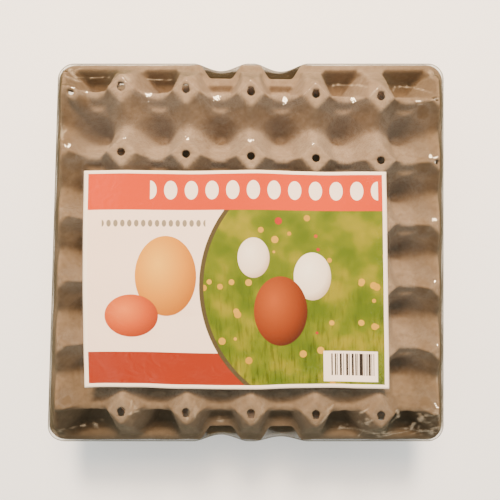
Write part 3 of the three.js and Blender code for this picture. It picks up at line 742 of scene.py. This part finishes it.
def film_mesh():
    """One closed bag. The top is a membrane on a grid: fixed at the rim, held up by the post
    tops and the label, and relaxed elsewhere until each point is the mean of its neighbours
    less a slight sag. From its edge, rings run down over the cover's rim to the base tray's
    rim and in to the flat underside."""

    def level_ring(px, py, height):
        return np.stack([px, py, np.full_like(px, height)], -1)

    columns, rows = 271, 265
    gx, gy = np.meshgrid(np.linspace(-FILM_X, FILM_X, columns), np.linspace(-FILM_Y, FILM_Y, rows))
    x, y = film_outline(gx, gy)
    obstacle = cover_height(gx, gy) + 0.5 + 0.9 * np.exp(-((gx + 129) ** 2 + (gy - 114) ** 2) / 100)
    on_label = ((gx > -121.5) & (gx < 100) & (gy > -98.5) & (gy < 59.5))
    obstacle = np.where(on_label, np.maximum(obstacle, label_height(gx, y) + 0.4), obstacle)
    edge = np.minimum(FILM_X - np.abs(gx), FILM_Y - np.abs(gy))
    rim_z = RIM_HEIGHT + 0.9
    z = np.maximum(np.minimum(48.8, rim_z + edge * 0.55), obstacle)
    z[0], z[-1], z[:, 0], z[:, -1] = rim_z, rim_z, rim_z, rim_z
    for _ in range(RELAXATIONS):
        mean = (z[1:-1, :-2] + z[1:-1, 2:] + z[:-2, 1:-1] + z[2:, 1:-1]) / 4
        z[1:-1, 1:-1] = np.maximum(mean - FILM_SAG, obstacle[1:-1, 1:-1])
    y = lean(x, y, np.where(edge > 3, np.minimum(z, 48), 0))
    z = z + 0.10 * uneven(x, y, 9, 21) * smoothstep(0, 6, edge) + film_creases(x, y) * (edge > 0.6)
    top = np.stack([x, y, z + COVER_Z], -1).reshape(-1, 3)
    ring = ring_indices(columns, 0, columns - 1, 0, rows - 1)
    rim = top[ring]
    base_x, base_y = round_corners(
        gx.reshape(-1)[ring], gy.reshape(-1)[ring], FILM_X, FILM_Y, FILM_CORNER)
    low_x, low_y = base_x * FOOT_X / FILM_X, base_y * FOOT_Y / FILM_Y
    around = np.arctan2(low_y, low_x) * 150
    levels = []
    # Down the side: share of the way from the rim to the foot, height, push outward.
    for share, height, out in (
        (0.0, 68.6, 0.25), (0.0, 66.6, 0.3), (0.12, 61, 0), (0.3, 54, 0), (0.5, 46, 0),
        (0.7, 38, 0), (0.88, 30, 0), (1.0, 23.4, 0.1), (1.0, 21.4, 0.3), (1.0, 19.6, 0.2),
    ):
        px = rim[:, 0] * (1 - share) + low_x * share
        py = rim[:, 1] * (1 - share) + low_y * share
        size = np.maximum(np.hypot(px, py), 1)
        taut = math.sin(math.pi * share)
        push = out + taut * (0.7 * uneven(around, np.full_like(around, height), 13, 22) - 0.6)
        levels.append(level_ring(px + px / size * push, py + py / size * push, height))
    # Round the base tray's lower edge: share of the way inward, height.
    for share, height in ((0.2, 12.0), (0.45, 5.0), (0.8, 0.5)):
        inner = 1 - 0.054 * share
        levels.append(level_ring(low_x * inner, low_y * inner, height))
    # The flat underside.
    for scale in (0.98, 0.6, 0.3):
        levels.append(level_ring(low_x * 0.91 * scale, low_y * 0.91 * scale, 0.02))
    points = [top] + levels + [np.array([[0.0, 0.0, 0.02]])]
    count, start = len(ring), len(top)
    faces = [grid_quads(rows, columns)]
    above = ring
    for level in range(len(levels)):
        below = start + level * count + np.arange(count)
        faces.append(np.stack([above, below, np.roll(below, -1), np.roll(above, -1)], -1))
        above = below
    pole = np.full(count, start + len(levels) * count)
    faces.append(np.stack([above, pole, np.roll(above, -1)], -1))
    # How strongly each point of the film's top is painted with the pale crease highlight.
    crease_highlight = np.zeros(sum(len(p) for p in points))
    crease_highlight[:len(top)] = np.clip(film_creases(gx, gy) * 0.6 - 0.12, 0, 0.24).reshape(-1)
    return np.concatenate(points), faces, crease_highlight


# ======================= building =======================

pulp = pulp_material()

cover_points, cover_faces, cover_flat = tray_mesh(
    cover_height, 44, (8, 24), POST_HOLES + EDGE_HOLES)
cover_points[:, 1] = lean(cover_points[:, 0], cover_points[:, 1], cover_points[:, 2])
cover_points[:, 0] = flare(cover_points[:, 0], cover_points[:, 1])
add_piece("cover_tray_pulp", cover_points + (0, 0, COVER_Z), cover_faces, pulp,
          "cover_tray", cover_flat)

base_points, base_faces, base_flat = tray_mesh(mould_height, 22, (4, 12), [])
base_points = base_points[:, [1, 0, 2]] * (-1, 1, 1)
base_points[:, 0] = flare(base_points[:, 0], base_points[:, 1])
add_piece("base_tray_pulp", base_points + (0, 0, BASE_Z), base_faces, pulp,
          "base_tray", base_flat)

shells = [shell_material(f"brown eggshell {k + 1}", code) for k, code in
          enumerate(("#B97C50", "#C68A5E", "#AE7048", "#CC966C", "#BA7C54"))]
for egg in range(30):
    row, column = divmod(egg, 5)
    size = EGG_SCALES[(egg * 2) % 7]
    size = size - (0.03 if row in (0, 5) else 0) - (0.06 if egg in (0, 4, 25, 29) else 0)
    points, faces = egg_mesh(size, egg * 0.7, egg)
    place = ((column - 2) * PITCH_Y, (2.5 - row) * PITCH_X, BASE_Z + egg_rest(size) + EGG_GAP)
    name = f"egg_{egg + 1:02d}"
    add_piece(name + "_shell", points + place, faces, shells[(egg * 3) % 5], name)

label_points, label_faces, label_flat = label_mesh()
label_points[:, 2] += COVER_Z
add_piece("label_paper", label_points, label_faces, label_material(), "label", label_flat)

film_points, film_faces, film_crease_highlight = film_mesh()
film_points[:, 0] = flare(film_points[:, 0], film_points[:, 1])
film = add_piece("film_wrap", film_points, film_faces, film_material(), "film")
film.data.attributes.new("crease_highlight", "FLOAT", "POINT").data.foreach_set("value", film_crease_highlight)


# ======================= floor, lights and camera =======================

bpy.ops.mesh.primitive_plane_add(size=6)
floor = bpy.context.object
floor.name = "floor"
floor_material, ft = new_material("pale matt floor")
floor_shader = node(ft, "ShaderNodeBsdfPrincipled", {
    "Base Color": linear("#F6F9FF"), "Roughness": 0.9})
floor.data.materials.append(end_material(floor_material, ft, floor_shader.outputs[0]))
floor.visible_glossy = False


def add_lamp(name, place, target, size, power, colour):
    """A soft box that faces the target."""
    data = bpy.data.lights.new(name, "AREA")
    data.shape, data.size, data.energy, data.color = "SQUARE", size, power, linear(colour)[:3]
    lamp = bpy.data.objects.new(name, data)
    bpy.context.scene.collection.objects.link(lamp)
    direction = np.array(target, float) - np.array(place, float)
    flat_length = math.hypot(direction[0], direction[1])
    lamp.location = place
    turn = math.atan2(direction[1], direction[0]) - math.pi / 2
    lamp.rotation_euler = (math.atan2(flat_length, -direction[2]), 0, turn)
    return lamp


soft_key = add_lamp("soft_key", (0.0, 0.36, 0.62), (0, 0.04, 0.09), 0.24, 8.8, "#FFD2A2")
small_lamp = add_lamp("small_lamp", (0.0, 2.1, 2.1), (0, 0, 0.09), 0.6, 185, "#FFE6C8")
front_fill = add_lamp("front_fill", (0.0, -1.6, 0.6), (0, 0, 0.06), 0.9, 16, "#FFF4E6")
small_lamp.data.shape = "DISK"
soft_key.visible_glossy = front_fill.visible_glossy = False

world = bpy.data.worlds.new("soft room")
world.use_nodes = True
wt = world.node_tree
wt.nodes.clear()
place = node(wt, "ShaderNodeTexCoord").outputs["Generated"]
_, way_y, way_z = node(wt, "ShaderNodeSeparateXYZ", {0: place}).outputs
# A dim room with a paler ceiling, paler still behind the pack, and darker right overhead.
high = math_node(wt, "MULTIPLY", way_z, math_node(wt, "MULTIPLY_ADD", way_y, 0.35, 1.0))
sky = ramp(wt, high, [(0.0, "#57574F"), (0.35, "#55554E"), (0.6, "#A4A39B"), (0.85, "#F0F0E8")])
overhead = ramp(wt, way_z, [(0.87, "#FFFFFF"), (0.95, "#787878")])
room = node(wt, "ShaderNodeBackground", {
    "Color": multiply(wt, 1.0, sky, overhead), "Strength": 2.5}).outputs[0]
backdrop = node(wt, "ShaderNodeBackground", {
    "Color": linear("#F4F2EE"), "Strength": 3.5}).outputs[0]
seen = node(wt, "ShaderNodeLightPath").outputs["Is Camera Ray"]
node(wt, "ShaderNodeOutputWorld", {"Surface": mix_shader(wt, seen, room, backdrop)})
bpy.context.scene.world = world

camera_data = bpy.data.cameras.new("camera")
camera_data.lens, camera_data.sensor_width = 30.9, 36.0
camera = bpy.data.objects.new("camera", camera_data)
camera.location = (0.0034, 0.0019, 0.4062)
bpy.context.scene.collection.objects.link(camera)
bpy.context.scene.camera = camera
